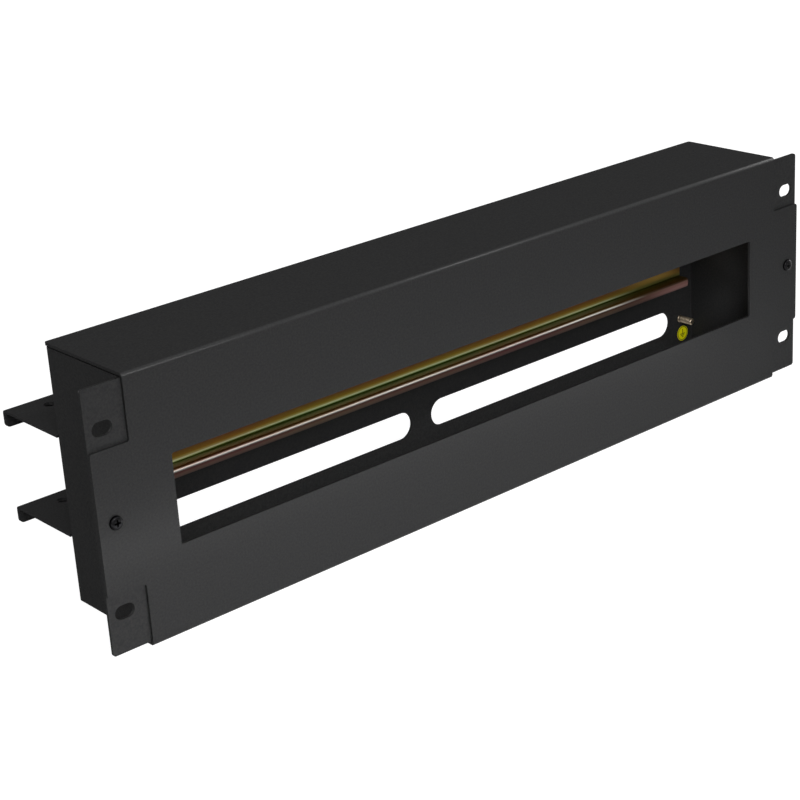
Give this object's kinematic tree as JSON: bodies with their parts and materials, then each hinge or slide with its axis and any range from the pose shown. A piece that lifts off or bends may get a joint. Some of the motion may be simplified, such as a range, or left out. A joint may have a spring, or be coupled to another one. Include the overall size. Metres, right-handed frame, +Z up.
{
  "type": "rack-mount din rail panel",
  "caption": "Flat black sheet-metal rack panel with a long window, a hat rail behind it for clip-on modules, cable slots in the back wall and two rear support plates.",
  "frame": {"origin": "centre of the four rack slots, on the plane where the rear faces of the ears seat on the rack", "axes": "+X along the panel to its right end as seen from the front, +Y to the rear, +Z up"},
  "size_m": [0.4826, 0.1139, 0.1334],
  "materials": {
    "black_powder_coat": "fine matte black powder coat",
    "yellow_zinc": "yellow-passivated zinc plating, iridescent",
    "stud_zinc": "zinc-plated thread",
    "black_zinc": "black zinc plating, semi-gloss",
    "bright_zinc": "bright zinc plating",
    "label_yellow": "printed vinyl"
  },
  "bodies": {
    "root": {"chassis": "black_powder_coat", "cover_nut_left": "bright_zinc", "cover_nut_right": "bright_zinc", "cover_screw_left": "black_zinc", "cover_screw_right": "black_zinc", "din_rail": "yellow_zinc", "earth_label": "label_yellow", "earth_stud": "stud_zinc", "front_cover": "black_powder_coat", "rail_nut_left": "bright_zinc", "rail_nut_middle": "bright_zinc", "rail_nut_right": "bright_zinc", "rail_screw_left": "bright_zinc", "rail_screw_middle": "bright_zinc", "rail_screw_right": "bright_zinc", "rail_washer_left": "bright_zinc", "rail_washer_middle": "bright_zinc", "rail_washer_right": "bright_zinc", "rear_support_lower": "black_powder_coat", "rear_support_upper": "black_powder_coat"}
  },
  "joints": []
}
